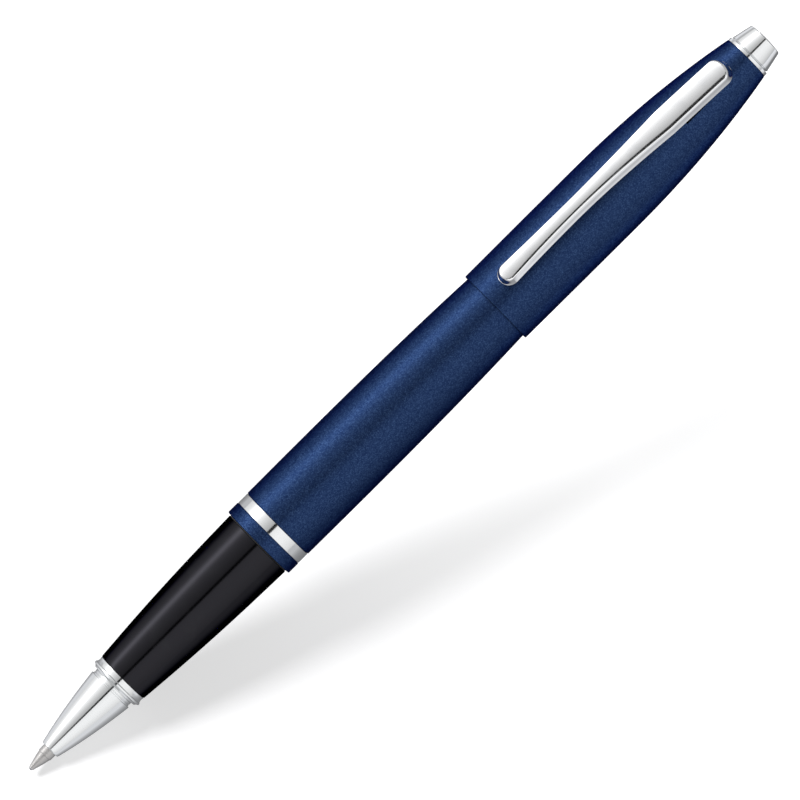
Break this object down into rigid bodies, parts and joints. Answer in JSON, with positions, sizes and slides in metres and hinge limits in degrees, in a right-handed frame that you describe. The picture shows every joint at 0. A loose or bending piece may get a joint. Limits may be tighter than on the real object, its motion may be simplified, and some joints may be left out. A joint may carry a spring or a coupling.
{
  "type": "rollerball pen",
  "caption": "Slim metal rollerball pen in blue lacquer with a glossy black grip, bright nose cone and rings, and its clip cap posted on the barrel.",
  "frame": {"origin": "the writing point, at the very tip of the ball", "axes": "+X along the pen from the writing point to the finial, +Z out through the middle of the clip, Y across the clip"},
  "size_m": [0.15, 0.0126, 0.0162],
  "materials": {
    "blue_lacquer": "gloss",
    "bright_chrome": "polished",
    "black_gloss": "gloss",
    "black_plastic": "satin",
    "pale_plastic": "satin",
    "ball_steel": "polished",
    "point_steel": "satin",
    "spring_steel": "satin",
    "bush_brass": "satin",
    "ink_fibre": "matte",
    "seal_rubber": "matte"
  },
  "bodies": {
    "barrel": {"barrel_shell": "blue_lacquer", "mouth_ring": "blue_lacquer", "barrel_band": "bright_chrome", "thread_bush": "bush_brass", "barrel_end_plug": "black_plastic", "refill_spring": "spring_steel"},
    "seal": {"joint_seal": "seal_rubber"},
    "section": {"grip_sleeve": "black_gloss", "section_core": "black_plastic", "nose_cone": "bright_chrome", "front_ring": "bright_chrome"},
    "refill": {"refill_point": "point_steel", "refill_nose": "pale_plastic", "ink_feed": "ink_fibre", "refill_tube": "pale_plastic", "ink_reservoir": "ink_fibre", "refill_plug": "black_plastic"},
    "ball": {"writing_ball": "ball_steel"},
    "posting_ring": {"posting_ring": "seal_rubber"},
    "cap": {"cap_shell": "blue_lacquer", "cap_liner": "black_plastic", "inner_cap": "black_plastic", "finial_ring": "bright_chrome", "finial": "bright_chrome", "finial_nut": "bush_brass"},
    "clip": {"clip": "bright_chrome"}
  },
  "joints": [
    {"name": "section_draw", "type": "slide", "parent": "barrel", "child": "seal", "axis": [-1, 0, 0], "range_m": [0, 0.0045]},
    {"name": "section_turn", "type": "hinge", "parent": "seal", "child": "section", "pos_m": [0.0465, 0, 0], "axis": [-1, 0, 0], "range_deg": [0, 2161]},
    {"name": "refill_float", "type": "slide", "parent": "section", "child": "refill", "axis": [1, 0, 0], "range_m": [0, 0.0012], "stiffness_N_per_m": 300, "springref_m": -0.004, "deforming": ["refill_spring"]},
    {"name": "ball_roll", "type": "hinge", "parent": "refill", "child": "ball", "pos_m": [0.00035, 0, 0], "axis": [0, 1, 0], "continuous": true},
    {"name": "cap_turn", "type": "hinge", "parent": "barrel", "child": "posting_ring", "pos_m": [0.1285, 0, 0], "axis": [1, 0, 0], "continuous": true},
    {"name": "cap_pull", "type": "slide", "parent": "posting_ring", "child": "cap", "axis": [1, 0, 0], "range_m": [0, 0.045]},
    {"name": "clip_flex", "type": "hinge", "parent": "cap", "child": "clip", "pos_m": [0.1408, 0, 0.0046], "axis": [0, 1, 0], "range_deg": [0, 3], "stiffness_Nm_per_rad": 2}
  ],
  "couplings": [
    {"joint": "section_turn", "follows": "section_draw", "rad_per_m": 8377.6}
  ]
}
